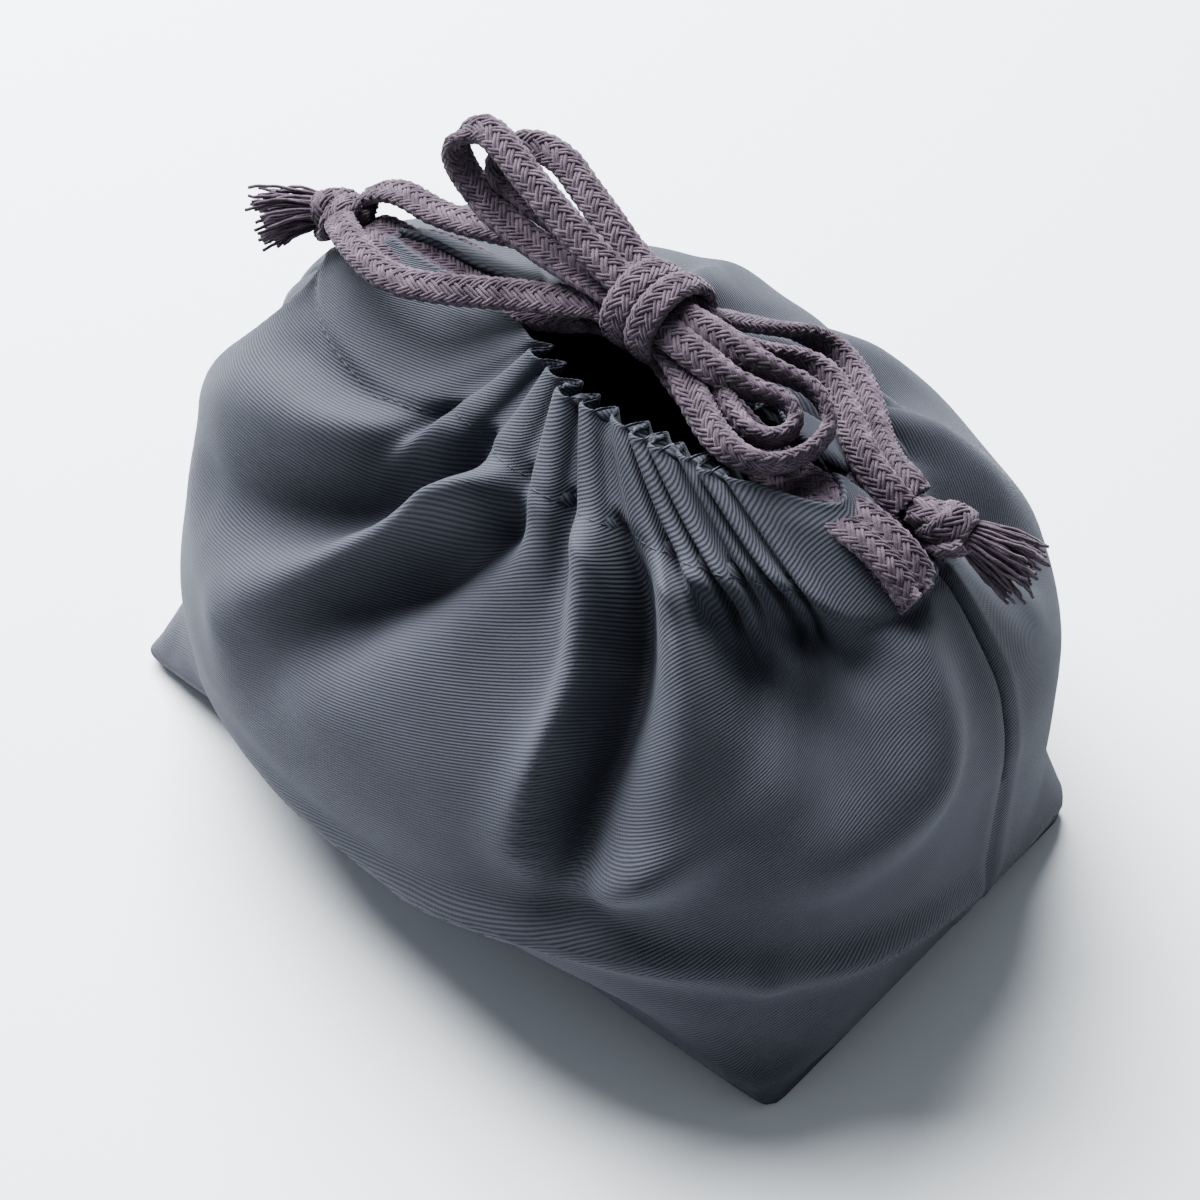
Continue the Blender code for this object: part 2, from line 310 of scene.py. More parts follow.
def guideMesh(name, points, wide, along):
    mesh = bpy.data.meshes.new(name)
    mesh.from_pydata([tuple(p) for p in points * mm], [(i, i + 1) for i in range(len(points) - 1)], [])
    tangent = unit(np.gradient(points, axis=0))
    wide = unit(wide - tangent * np.sum(wide * tangent, axis=1, keepdims=True))
    thick = np.cross(tangent, wide)
    for label, values in (("wide", wide), ("thick", thick)):
        mesh.attributes.new(label, "FLOAT_VECTOR", "POINT").data.foreach_set("vector", values.ravel())
    mesh.attributes.new("along", "FLOAT", "POINT").data.foreach_set("value", along * mm)
    return mesh


def braidAlong(name, route, hints, seed=0.0, s=braid):
    points, along = smoothLine(route, s["step"])
    parts = along / along[-1]
    wide = np.stack([np.interp(parts, [h[0] for h in hints], [h[1][k] for h in hints]) for k in range(3)], axis=1)
    mesh = guideMesh(name, points, unit(wide), along)
    piece = applied(name, mesh, plait, {
        "Half Width": s["width"] / 2 * mm, "Half Thickness": s["thickness"] / 2 * mm, "Pitch": s["pitch"] * mm,
        "Carriers": s["carriers"], "Yarn Radius": s["yarnRadius"] * mm, "Weave": s["weave"] * mm,
        "Pair Angle": s["pairAngle"], "Wobble": s["wobble"] * mm, "Seed": seed, "Material": mauve})
    return piece, points * mm, along[-1] * mm


# Each strand leaves its vent, goes into the bow, comes out as a loop, goes back in and out again as a tail
strands = {
    "left_strand_a": {
        "lead": ((-70, -2.6, 118.5), (-66, -2.6, 121.2), (-58, -2.6, 121.9), (-47, -2.5, 122),
                 (-34, -2, 122.2), (-20, -0.4, 123.8), (-9, 3, 126.4), (-3.5, 5, 128.4)),
        "turnIn": ((5, 8, 129), (13, 10, 132.5), (13, 12, 138)),
        "loop": ((1, 13.4, 141.5), (-4, 14.2, 143), (-11, 16, 145.5), (-19.5, 18.5, 147.5),
                 (-27, 20.5, 149.5), (-33.5, 19.8, 150.5), (-37, 16.5, 150.5), (-38, 12.8, 149),
                 (-36.5, 11.2, 146.5), (-33, 12, 144.3), (-27, 12, 142.8), (-17, 12, 141.7),
                 (-8, 11.8, 141), (-2, 11.4, 141)),
        "turnOut": ((6, 10.5, 139.5), (9, 11.5, 137), (5, 12.8, 135.5)),
        "tail": ((-1.5, 13, 136.5), (-5, 13, 136), (-18, 13, 134), (-31, 11, 132.5), (-42, 8, 131.5),
                 (-52, 6, 131), (-62, 6.3, 130.3), (-68, 5.8, 128.3), (-73, 4.5, 124.5)),
        "wide": ((0.0, (0, 1, 0)), (0.25, (0.2, 1, 0)), (0.38, (0.2, 0.7, 0.3)), (0.5, (0.1, 0.9, 0.35)),
                 (0.6, (0.2, 1, 0.2)), (0.75, (0.3, 1, 0)), (1.0, (0.2, 1, 0.2))),
    },
    "left_strand_b": {
        "lead": ((-70, 2.6, 118.5), (-66, 2.6, 121.2), (-58, 2.6, 121.9), (-47, 2.7, 122),
                 (-34, 3, 122.2), (-20, 4.8, 124), (-9, 8.4, 126.6), (-3.5, 10.8, 128.4)),
        "turnIn": ((5, 10, 129.5), (12, 9, 133), (10, 6.5, 139.5)),
        "loop": ((0, 6, 143.2), (-8, 6.2, 146), (-17.5, 7.2, 149.5), (-28, 9, 153), (-35.5, 10.8, 155),
                 (-41.5, 11.5, 155.8), (-45, 9.3, 154.5), (-45.8, 6.8, 151.5), (-44, 6.5, 147.5),
                 (-39.5, 6.5, 143.5), (-34, 6, 141), (-25, 5.5, 139.4), (-14, 5.2, 138.8), (-3, 5.2, 139)),
        "turnOut": ((5, 5.5, 137.5), (8, 5, 135), (3, 4.6, 133.6)),
        "tail": ((-3, 4, 134.5), (-8, 1.8, 133.5), (-20, -3.5, 132), (-32, -10.5, 131), (-42, -14.5, 130),
                 (-51, -14.5, 129), (-60, -11.5, 128), (-68, -7.5, 126), (-73, -4, 123.5)),
        "wide": ((0.0, (0, 1, 0)), (0.25, (0.2, 1, 0)), (0.38, (0.2, 0.7, 0.3)), (0.5, (0.1, 0.9, 0.35)),
                 (0.6, (0.2, 1, 0.2)), (0.75, (0.5, 1, 0.5)), (1.0, (0.2, 1, 0.2))),
    },
    "right_strand_a": {
        "lead": ((86, -2.6, 113.5), (81.5, -2.6, 118.2), (74, -2.6, 121.2), (65, -2.5, 122),
                 (54, -2.2, 122), (43, -1.2, 122.4), (31, 1, 124.8), (21, 3, 127.6)),
        "turnIn": ((12, 6, 129.5), (6, 6, 132), (11, 5.5, 134.5)),
        "loop": ((19.5, 3.4, 132.6), (27.5, -1, 131), (37, -5.8, 130), (45, -7.6, 130), (51, -5.8, 130),
                 (54.5, -0.5, 130), (55.5, 5, 130.5), (54.5, 10, 131.8), (50.8, 12.5, 133.8),
                 (46, 12.5, 136), (40, 10, 137.8), (33.5, 8.6, 139), (22.5, 8.4, 139.5)),
        "turnOut": ((13, 8.5, 139.5), (6, 12, 138), (9, 15.5, 136.5)),
        "tail": ((17, 17, 134.5), (19.5, 20.5, 132.3), (23.5, 27.5, 128), (28, 35.5, 123.5),
                 (34, 38.5, 120), (42, 36, 119), (50, 30.5, 119), (57.5, 24, 119.3), (64.5, 18.8, 120.2),
                 (70, 16.6, 120.8), (73.5, 15.6, 119.6)),
        "wide": ((0.0, (0, 1, 0)), (0.25, (0, 1, 0.1)), (0.36, (0.6, 0.8, 0.4)), (0.47, (0.3, -0.2, 1)),
                 (0.56, (0.1, -0.4, 1)), (0.64, (0, 1, 0.8)), (0.75, (0.8, -0.5, 0.3)), (0.88, (0.3, 0.6, 0.7)),
                 (1.0, (0.3, 0.8, 0.5))),
    },
    "right_strand_b": {
        "lead": ((86, 2.6, 113.5), (81.5, 2.6, 118.2), (74, 2.6, 121.2), (65, 2.7, 122),
                 (54, 2.9, 122), (43, 4, 122.6), (31, 5.8, 125.2), (21, 8.2, 128.2)),
        "turnIn": ((12, 9, 130), (6, 10, 132.5), (12, 10, 134)),
        "loop": ((20.5, 8.6, 133.3), (28.5, 4.6, 132.2), (37.5, 0, 131.3), (43.5, -1.7, 131),
                 (47.5, -0.5, 131), (49.6, 2.5, 131.5), (49, 5.8, 132.5), (46.6, 7.2, 134),
                 (43.5, 6.8, 134.8), (38.5, 5, 135.2), (33, 3.5, 135.9), (22, 3.6, 137.3)),
        "turnOut": ((13, 5, 138), (8, 9, 137), (12, 13, 135.5)),
        "tail": ((20, 13, 134), (23, 16.3, 132), (28.5, 21, 129), (35, 25, 127), (41, 26, 125.7),
                 (47.5, 23.3, 125.2), (54, 18.5, 125.2), (60.5, 13.8, 125.2), (66, 11.4, 123.8),
                 (70.5, 10.6, 121.8), (73.5, 10.8, 120)),
        "wide": ((0.0, (0, 1, 0)), (0.25, (0, 1, 0.1)), (0.36, (0.6, 0.8, 0.4)), (0.47, (0.3, -0.2, 1)),
                 (0.56, (0.1, -0.4, 1)), (0.64, (0, 1, 0.8)), (0.75, (0.8, -0.5, 0.3)), (0.88, (0.3, 0.6, 0.7)),
                 (1.0, (0.3, 0.8, 0.5))),
    },
}

mauve = braidMaterial(braid)
plait = braidTree()


def makeStrands():
    made = {}
    for number, (name, s) in enumerate(strands.items()):
        route = s["lead"] + s["turnIn"] + s["loop"] + s["turnOut"] + s["tail"]
        piece, path, length = braidAlong(name, route, s["wide"], seed=7.0 * number)
        side, letter = name.split("_")[0], name[-1]
        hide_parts(f"{side}_lead_{letter}", f"{side}_loop_{letter}", f"{side}_tail_{letter}")
        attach(piece, "root")
        made[name] = (piece, path, length)
        print(name, "is", round(length * 1000), "mm long,", len(piece.data.polygons), "faces")
    return made


cords = makeStrands()


cloth = {
    "baseLength": 200.0, "baseDepth": 111.0, "rim": 126.0, "stitchLine": 108.0,
    "seamRight": 12.0,              # where the side seams stand along the short ends
    "seamLeft": 0.0,
    "rimSeam": 8.0,                 # direction of the right side seam at the mouth, in degrees
    "longSteps": 150, "shortSteps": 50,
    "bodyStep": 2.4, "topStep": 1.3,
    "thickness": 0.6,
    "layers": 1.7,                  # between the two layers of the casing, middle to middle
    "vent": 3.2,
    # height, reach left, right, front, back, squareness front-left, front-right, back-right, back-left
    "sections": (
        (0.0, 100.0, 100.0, 55.5, 55.5, 40.0, 40.0, 40.0, 40.0),
        (2.0, 100.0, 100.0, 56.5, 56.0, 40.0, 40.0, 40.0, 40.0),
        (6.0, 100.0, 101.5, 61.0, 58.5, 12.0, 16.0, 16.0, 16.0),
        (11.0, 100.5, 104.0, 67.0, 62.5, 5.5, 8.0, 7.0, 7.0),
        (17.0, 101.5, 105.0, 72.5, 66.5, 3.4, 5.0, 4.5, 4.5),
        (25.0, 103.0, 106.0, 77.0, 71.0, 2.5, 3.6, 3.2, 3.4),
        (45.0, 105.0, 106.0, 82.0, 79.0, 2.2, 2.7, 2.8, 2.7),
        (62.0, 104.0, 106.0, 80.0, 82.5, 2.1, 2.4, 2.6, 2.5),
        (80.0, 100.0, 103.0, 70.0, 79.0, 2.1, 2.3, 2.4, 2.3),
        (96.0, 91.0, 95.0, 53.0, 66.0, 2.1, 2.2, 2.2, 2.2),
        (109.0, 79.0, 86.0, 35.0, 45.0, 2.0, 2.1, 2.1, 2.1),
        (118.0, 70.0, 76.0, 22.0, 28.0, 2.0, 2.0, 2.0, 2.0),
        (126.0, 62.0, 67.0, 13.0, 15.0, 2.0, 2.0, 2.0, 2.0),
    ),
}

gathers = {
    "front": (-12.0, 47.0), "back": (-22.0, 40.0),   # where along the mouth the cloth is drawn together
    "frontFolds": 10, "backFolds": 10,
    "depth": 4.3, "curl": 1.0, "uneven": 0.8,
    "rise": 5.0,
    "fade": 17.0,
    "cordRoom": 0.8, "liningRoom": 3.8,
    "shut": (-12.0, 20.0),
    "foldScale": (2.1, 0.8),
}

# Folds that the cords pull into the cloth: each a path of (direction in degrees, height), its height and width at
# its start and end. A negative height is a hollow.
folds = {
    "leftRidge": (((293, 119), (280, 115), (270, 108), (258, 103), (250, 96), (246, 88), (243, 79), (238, 66)),
                  (3.0, 7.5, 5.0, 1.5), (4.5, 6.0, 8.0, 12.0)),
    "hollowAbove": (((262, 114), (250, 108), (243, 101), (235, 95), (226, 86), (216, 76)),
                    (-3.0, -6.5, -6.0, -2.0), (5.0, 8.0, 10.0, 12.0)),
    "hollowBelow": (((280, 107), (266, 98), (256, 89), (250, 79), (247, 67)),
                    (-4.0, -8.0, -7.5, -2.0), (6.0, 10.0, 13.0, 13.0)),
    "middleRidge": (((315, 118), (312, 111), (311, 104), (310, 96), (307, 87), (304, 78), (302, 68)),
                    (3.0, 5.0, 6.0, 2.0), (4.0, 5.0, 6.0, 9.0)),
    "deepValley": (((322, 113), (322, 108), (318, 100), (315, 92), (311, 82), (309, 72), (309, 60)),
                   (-4.0, -8.5, -8.0, -3.0), (4.0, 6.0, 7.0, 6.0)),
    "rightRidge": (((333, 120), (329, 113), (328, 106), (327, 98), (325, 90), (322, 82), (318, 74)),
                   (3.0, 6.0, 5.0, 2.0), (4.0, 6.0, 8.0, 10.0)),
    "valleyLip": (((309, 60), (319, 70), (328, 79)), (2.5, 4.0, 1.0), (4.0, 6.0, 8.0)),
    "smallRidge": (((343, 123), (339, 117), (338, 113), (341, 110)), (2.0, 4.0, 2.0), (3.5, 4.5, 6.0)),
    "rightHollow": (((338, 111), (343, 112), (347, 109), (349, 104)), (-3.0, -6.0, -3.0), (5.0, 7.0, 8.0)),
    "rightBulge": (((355, 112), (355, 100), (353, 88), (348, 78), (340, 70)), (1.0, 4.0, 5.0, 2.0),
                   (6.0, 9.0, 11.0, 10.0)),
    "rightDip": (((333, 107), (337, 101), (340, 94), (341, 85)), (-3.5, -6.0, -5.0, -1.5), (7.0, 8.0, 9.0, 9.0)),
    "leftDimple": (((222, 113), (211, 110), (203, 106)), (-1.5, -4.0, -1.5), (5.0, 8.0, 7.0)),
    "leftBulge": (((196, 80), (206, 92), (222, 103), (240, 110)), (1.0, 3.5, 3.0, 1.0), (12.0, 13.0, 10.0, 7.0)),
    "bellyCrease": (((228, 30), (250, 30), (268, 32), (283, 36), (296, 43), (308, 47), (322, 46), (331, 43)),
                    (0.5, 1.6, 2.4, 2.6, 1.2), (5.0, 5.0, 4.0, 4.0, 5.0)),
    "underBelly": (((214, 12), (236, 13), (262, 14), (288, 16), (312, 17), (332, 15)), (-1.0, -4.2, -5.0, -4.2, -1.5),
                   (9.0, 11.0, 12.0, 12.0, 9.0)),
    "sideCrease": (((331, 42), (343, 38), (355, 30), (6, 20)), (1.0, 2.0, 1.6, 0.6), (4.0, 4.5, 4.5, 4.0)),
    "backFoldA": (((40, 112), (36, 104), (34, 94), (36, 80)), (2.0, 5.0, 4.0, 1.0), (5.0, 7.0, 9.0, 12.0)),
    "backHollowA": (((24, 112), (22, 104), (24, 94), (28, 82)), (-4.0, -7.0, -4.0, -1.0), (7.0, 9.0, 10.0, 12.0)),
    "backFoldB": (((68, 116), (66, 106), (62, 94), (60, 78)), (2.0, 5.0, 4.0, 1.0), (4.0, 7.0, 9.0, 12.0)),
    "backHollowB": (((82, 114), (82, 104), (80, 90), (78, 72)), (-2.0, -6.0, -5.0, -1.5), (5.0, 7.0, 9.0, 11.0)),
    "backFoldC": (((100, 116), (102, 106), (104, 92), (106, 76)), (2.0, 5.5, 4.5, 1.5), (4.0, 6.0, 9.0, 12.0)),
    "backHollowC": (((122, 113), (124, 103), (128, 92), (132, 78)), (-2.0, -6.0, -4.0, -1.0), (6.0, 8.0, 10.0, 12.0)),
    "backFoldD": (((142, 112), (146, 104), (150, 94), (154, 82)), (1.0, 4.0, 4.0, 1.0), (6.0, 8.0, 10.0, 12.0)),
    "backCrease": (((40, 34), (70, 40), (100, 42), (130, 38), (150, 32)), (0.5, 2.0, 2.2, 0.8), (4.0, 5.0, 5.0, 5.0)),
    "leftEndFold": (((184, 104), (188, 90), (186, 74), (182, 58)), (-1.0, -3.5, -3.5, -1.0), (7.0, 8.0, 9.0, 9.0)),
}


def easedTable(table, heights):
    rows = np.array(table)
    z = rows[:, 0]
    result = []
    for column in range(1, rows.shape[1]):
        y = rows[:, column]
        slope = np.diff(y) / np.diff(z)
        tangent = np.concatenate([[slope[0]], np.where(slope[1:] * slope[:-1] > 0,
                                  2 * slope[1:] * slope[:-1] / np.where(slope[1:] + slope[:-1] == 0, 1,
                                                                        slope[1:] + slope[:-1]), 0.0), [slope[-1]]])
        i = np.clip(np.searchsorted(z, heights, side="right") - 1, 0, len(z) - 2)
        step = z[i + 1] - z[i]
        t = np.clip((heights - z[i]) / step, 0, 1)
        result.append(y[i] * (2 * t ** 3 - 3 * t ** 2 + 1) + y[i + 1] * (3 * t ** 2 - 2 * t ** 3)
                      + tangent[i] * step * (t ** 3 - 2 * t ** 2 + t) + tangent[i + 1] * step * (t ** 3 - t ** 2))
    return result


def bodyPoint(angle, height, s=cloth):
    angle, height = np.broadcast_arrays(np.asarray(angle, float), np.asarray(height, float))
    left, right, front, back, fl, fr, br, bl = [v.reshape(height.shape) for v in
                                                 easedTable(s["sections"], height.ravel())]
    c, n = np.cos(angle), np.sin(angle)
    reachX = np.where(c > 0, right, left)
    reachY = np.where(n > 0, back, front)
    power = np.where(n > 0, np.where(c > 0, br, bl), np.where(c > 0, fr, fl))
    radius = ((np.abs(c) / reachX) ** power + (np.abs(n) / reachY) ** power) ** (-1 / power)
    return np.stack([radius * c, radius * n, height], axis=-1)


def panelColumns(front, s=cloth):
    halfX, halfY = s["baseLength"] / 2, s["baseDepth"] / 2
    side = -1 if front else 1
    corners = [(-halfX, s["seamLeft"]), (-halfX, side * halfY), (halfX, side * halfY), (halfX, s["seamRight"])]
    steps = [s["shortSteps"] // 2, s["longSteps"], s["shortSteps"] // 2]
    points = []
    for (a, b), count in zip(zip(corners, corners[1:]), steps):
        points += [np.array(a) + (np.array(b) - np.array(a)) * i / count for i in range(count)]
    points = np.array(points + [np.array(corners[-1])])
    travelled = np.concatenate([[0.0], np.cumsum(np.linalg.norm(np.diff(points, axis=0), axis=1))])
    angle = np.unwrap(np.arctan2(points[:, 1], points[:, 0]) * (1 if front else -1))
    angle = angle - 2 * math.pi * round((angle[0] + math.pi) / (2 * math.pi))
    return (angle if front else -angle), travelled


def rimDirections(front, travelled, s=cloth, w=gathers):
    # the ends of the casing lie flat; the cord draws everything between them together
    way = 1 if front else -1
    fine = np.linspace(-math.pi, math.radians(s["rimSeam"] * way), 900)
    rim = bodyPoint(fine * way, np.full(fine.shape, s["rim"]))
    along = np.concatenate([[0.0], np.cumsum(np.linalg.norm(np.diff(rim, axis=0), axis=1))])
    middle = len(fine) * 19 // 20
    begin, end = w["front" if front else "back"]
    stops = np.interp((begin, end), rim[:middle, 0], along[:middle])
    leftFlat, rightFlat = stops[0], along[-1] - stops[1]
    wide = np.interp(travelled, (0, leftFlat, travelled[-1] - rightFlat, travelled[-1]),
                     (0, stops[0], stops[1], along[-1]))
    reach = 9
    kernel = np.hanning(2 * reach + 1)
    kernel /= kernel.sum()
    padded = np.concatenate([2 * wide[0] - wide[reach:0:-1], wide, 2 * wide[-1] - wide[-2:-reach - 2:-1]])
    wide = np.convolve(padded, kernel, mode="valid")
    inGather = (smoothStep(travelled, leftFlat - 6, leftFlat + 16)
                * (1 - smoothStep(travelled, travelled[-1] - rightFlat - 16, travelled[-1] - rightFlat + 6)))
    turn = (travelled - leftFlat) / (travelled[-1] - rightFlat - leftFlat)
    return np.interp(wide, along, fine) * way, turn, inGather


def rowHeights(s=cloth):
    fine = np.linspace(0.0, s["rim"], 1200)
    profile = bodyPoint(np.full(fine.shape, -math.pi / 2), fine)
    travelled = np.concatenate([[0.0], np.cumsum(np.linalg.norm(np.diff(profile, axis=0), axis=1))])
    split = np.interp(100.0, fine, travelled)
    lower = np.linspace(0.0, split, int(split / s["bodyStep"]))
    upper = np.linspace(split, travelled[-1], int((travelled[-1] - split) / s["topStep"]))[1:]
    wanted = np.concatenate([lower, upper])
    heights = np.interp(wanted, travelled, fine)
    drawn = 1 + 0.3 * smoothStep(heights[1:], 70.0, 105.0)
    return heights, np.concatenate([[0.0], np.cumsum(np.diff(wanted) * drawn)])


def gridNormals(grid):
    across = np.gradient(grid, axis=1)
    up = np.gradient(grid, axis=0)
    return unit(np.cross(across, up))


def smoothStep(x, low, high):
    t = np.clip((x - low) / (high - low), 0, 1)
    return t * t * (3 - 2 * t)


def pathField(points, path, levels, widths):
    knots = np.array([bodyPoint(math.radians(a), z) for a, z in path])
    line, travelled = smoothLine(knots, 2.0)
    part = travelled / travelled[-1]
    level = np.interp(part, np.linspace(0, 1, len(levels)), levels)
    width = np.interp(part, np.linspace(0, 1, len(widths)), widths)
    gap = np.linalg.norm(points[:, None, :] - line[None, :, :], axis=2) / width[None, :]
    weight = np.exp(-gap ** 2 * 6.0) + 1e-12
    nearest = np.argmin(gap, axis=1)
    height = np.sum(weight * level[None, :], axis=1) / np.sum(weight, axis=1)
    return height * np.exp(-np.take_along_axis(gap, nearest[:, None], 1)[:, 0] ** 2)


def unevenPhase(x, seed):
    return np.sin(x * 7.1 + seed) + 0.7 * np.sin(x * 14.3 + 2.3 * seed) + 0.5 * np.sin(x * 23.1 + 4.1 * seed)


def softMax(a, b, blur):
    return 0.5 * (a + b + np.sqrt((a - b) ** 2 + blur ** 2))


def shutMouth(points, w=gathers):
    # left of the gathers the two sides of the mouth lie nearly together
    x, y, z = points[..., 0], points[..., 1], points[..., 2]
    share = smoothStep(-x, w["shut"][0], w["shut"][1]) * (1 - 0.55 * smoothStep(-x, 36.0, 60.0))
    moved = points.copy()
    moved[..., 1] -= 7.0 * np.tanh(y / 4.0) * share * smoothStep(z, 100.0, 122.0)
    return moved


def panelGrid(front, heights, s=cloth, w=gathers):
    base, travelled = panelColumns(front)
    rim, turn, inGather = rimDirections(front, travelled)
    z = heights[:, None]
    angle = base[None, :] + (rim - base)[None, :] * smoothStep(z, 25.0, 108.0)
    grid = bodyPoint(angle, np.broadcast_to(z, angle.shape))
    grid = shutMouth(grid)
    normal = gridNormals(grid) * (1 if front else -1)
    tangent = unit(np.gradient(grid, axis=1))
    level = normal * (1, 1, 0.15)
    normal = unit(normal + 2.4 * level * smoothStep(z, 107.0, 121.0)[..., None])
    lift = np.zeros(len(heights) * len(travelled))
    for path, levels, widths in folds.values():
        lift += pathField(grid.reshape(-1, 3), path, levels, widths) * w["foldScale"][path[0][0] < 180]
    seamHeight = s["stitchLine"] + w["rise"] * inGather[None, :]
    lift = lift.reshape(angle.shape) * (1 - smoothStep(z, seamHeight - 5.0, seamHeight + 2.0))
    count = w["frontFolds"] if front else w["backFolds"]
    seed = 1.0 if front else 2.6
    phase = 2 * math.pi * count * turn + w["uneven"] * unevenPhase(turn, seed)
    size = (1.0 + 0.26 * np.sin(turn * 21 + seed) + 0.14 * np.sin(turn * 47)) * inGather
    fade = w["fade"] * (1.0 - 0.5 * smoothStep(turn, 0.45, 0.9))[None, :]
    tight = smoothStep(z, seamHeight - fade, seamHeight + 2.0) ** 1.3
    roll = 2 * (np.cos(phase / 2) ** 2 + 0.02) ** 0.5 - 0.95
    wave = w["depth"] * (roll * size)[None, :] * tight
    slide = w["curl"] * ((0.55 * np.sin(phase) + 0.45 * np.sin(2 * phase)) * size)[None, :] * tight
    # wider folds where the small gathers run out
    loose = smoothStep(z, 74.0, 100.0) * (1 - smoothStep(z, 103.0, 112.0))
    wave = wave + 1.7 * (np.cos(phase / 2.6 + seed) * inGather)[None, :] * loose
    # the seams draw in
    seam = np.zeros(angle.shape)
    for edge in (travelled, travelled[-1] - travelled):
        seam -= 1.2 * np.exp(-(edge / 1.5) ** 2)[None, :] * smoothStep(z, 0.5, 6.0)
        seam += 0.5 * np.exp(-((edge - 3.6) / 2.2) ** 2)[None, :] * smoothStep(z, 4.0, 12.0)
    stitched = np.exp(-((z - seamHeight) / 0.9) ** 2)
    settle = smoothStep(z, 0.0, 7.0)
    channel = smoothStep(z, seamHeight + 0.4, seamHeight + 2.4) * (1 - smoothStep(z, s["rim"] - 3.2, s["rim"]))
    outer = softMax(wave, w["cordRoom"], 1.2) * channel + wave * (1 - channel)
    inner = -softMax(-wave, w["liningRoom"], 1.2) * channel + (wave - s["layers"]) * (1 - channel) + lift
    inner = inner - 4.5 * (1 - smoothStep(z, seamHeight - 2.0, seamHeight + 0.6))
    lift = (lift + outer + seam - 0.45 * stitched) * settle
    moved = grid + normal * lift[..., None] + tangent * slide[..., None]
    lining = grid + normal * inner[..., None] + tangent * slide[..., None]
    # the casing parts at the side seams and sags a little there
    part = s["vent"] * smoothStep(z, s["stitchLine"] - 2.0, s["rim"])
    for edge, way in ((travelled, 1.0), (travelled[-1] - travelled, -1.0)):
        open_ = tangent * (way * part * np.exp(-(edge / 9.0))[None, :])[..., None]
        moved, lining = moved + open_, lining + open_
    ends = np.exp(-(travelled / 34.0) ** 2) + np.exp(-((travelled[-1] - travelled) / 34.0) ** 2)
    sag = 1.5 * ends[None, :] * smoothStep(z, 108.0, 124.0)
    moved[..., 2] -= sag
    lining[..., 2] -= sag
    rows = np.array([np.searchsorted(heights, h) for h in seamHeight[0]])
    columns = np.arange(len(travelled))
    stitchPaths.append((moved[rows, columns], normal[rows, columns]))
    return moved, lining, normal, travelled


def casingRows(moved, lining, normal, heights, s=cloth):
    top = len(heights) - 1
    low = int(np.searchsorted(heights, s["stitchLine"]))
    over = 0.5 * (moved[top] + lining[top])
    over[:, 2] += s["layers"] * 0.5
    near = 0.15 * moved[top] + 0.85 * lining[top]
    near[:, 2] += s["layers"] * 0.22
    rows = [0.8 * moved[top] + 0.2 * lining[top] + np.array((0, 0, s["layers"] * 0.32)), over, near]
    rows += [lining[i] for i in range(top - 1, low - 1, -1)]
    return rows


stitchPaths = []


def buildPouch(s=cloth):
    heights, flatV = rowHeights()
    vertices, faces, uvs, count = [], [], [], 0
    shares = (0.04, 0.2, 0.45, 0.7, 0.9, 0.985)
    for front in (True, False):
        moved, lining, normal, travelled = panelGrid(front, heights)
        inner = casingRows(moved, lining, normal, heights)
        bottom = [moved[0] * np.array((share, share, 0.0)) for share in shares]
        grid = np.array(bottom + list(moved) + inner)
        v = np.array([-(1 - share) * s["baseDepth"] / 2 for share in shares] + list(flatV)
                     + [flatV[-1] + 0.6 + 0.5 * i for i in range(3)]
                     + [flatV[-1] + 2.0 + s["topStep"] * i for i in range(len(inner) - 3)])
        rows, columns = grid.shape[:2]
        u = travelled if front else travelled[-1] + 24.0 + travelled[::-1]
        vertices.append(grid.reshape(-1, 3))
        for r in range(rows - 1):
            for c in range(columns - 1):
                a = count + r * columns + c
                quad = (a, a + 1, a + columns + 1, a + columns)
                faces.append(quad if front else quad[::-1])
        uvs.append(np.stack(np.broadcast_arrays(u[None, :], v[:, None]), axis=-1).reshape(-1, 2))
        count += rows * columns
    vertices = np.concatenate(vertices)
    uvs = np.concatenate(uvs) * mm
    mesh = bpy.data.meshes.new("pouchCloth")
    mesh.from_pydata((vertices * mm).tolist(), [], faces)
    layer = mesh.uv_layers.new(name="weave")
    loops = np.empty(len(mesh.loops), np.int32)
    mesh.loops.foreach_get("vertex_index", loops)
    layer.data.foreach_set("uv", uvs[loops].ravel())
    piece = bpy.data.objects.new("pouch_cloth", mesh)
    bpy.context.collection.objects.link(piece)
    work = bmesh.new()
    work.from_mesh(mesh)
    bmesh.ops.remove_doubles(work, verts=work.verts, dist=0.00002)
    edges = [e for e in work.edges if e.is_boundary and max(v.co.z for v in e.verts) < 0.001
             and max(abs(v.co.x) for v in e.verts) < 0.02]
    if edges:
        bmesh.ops.holes_fill(work, edges=edges)
    work.to_mesh(mesh)
    work.free()
    mesh.shade_smooth()
    wall = piece.modifiers.new("wall", "SOLIDIFY")
    wall.thickness = s["thickness"] * mm
    wall.offset = -1.0
    return piece


twill = {
    "wale": 0.92,                   # millimetres between the diagonal ribs
    "slant": 31.0,                  # degrees from the width of the cloth
    "dark": (0.020, 0.022, 0.030),
    "middle": (0.056, 0.059, 0.075),
    "pale": (0.112, 0.117, 0.142),
}


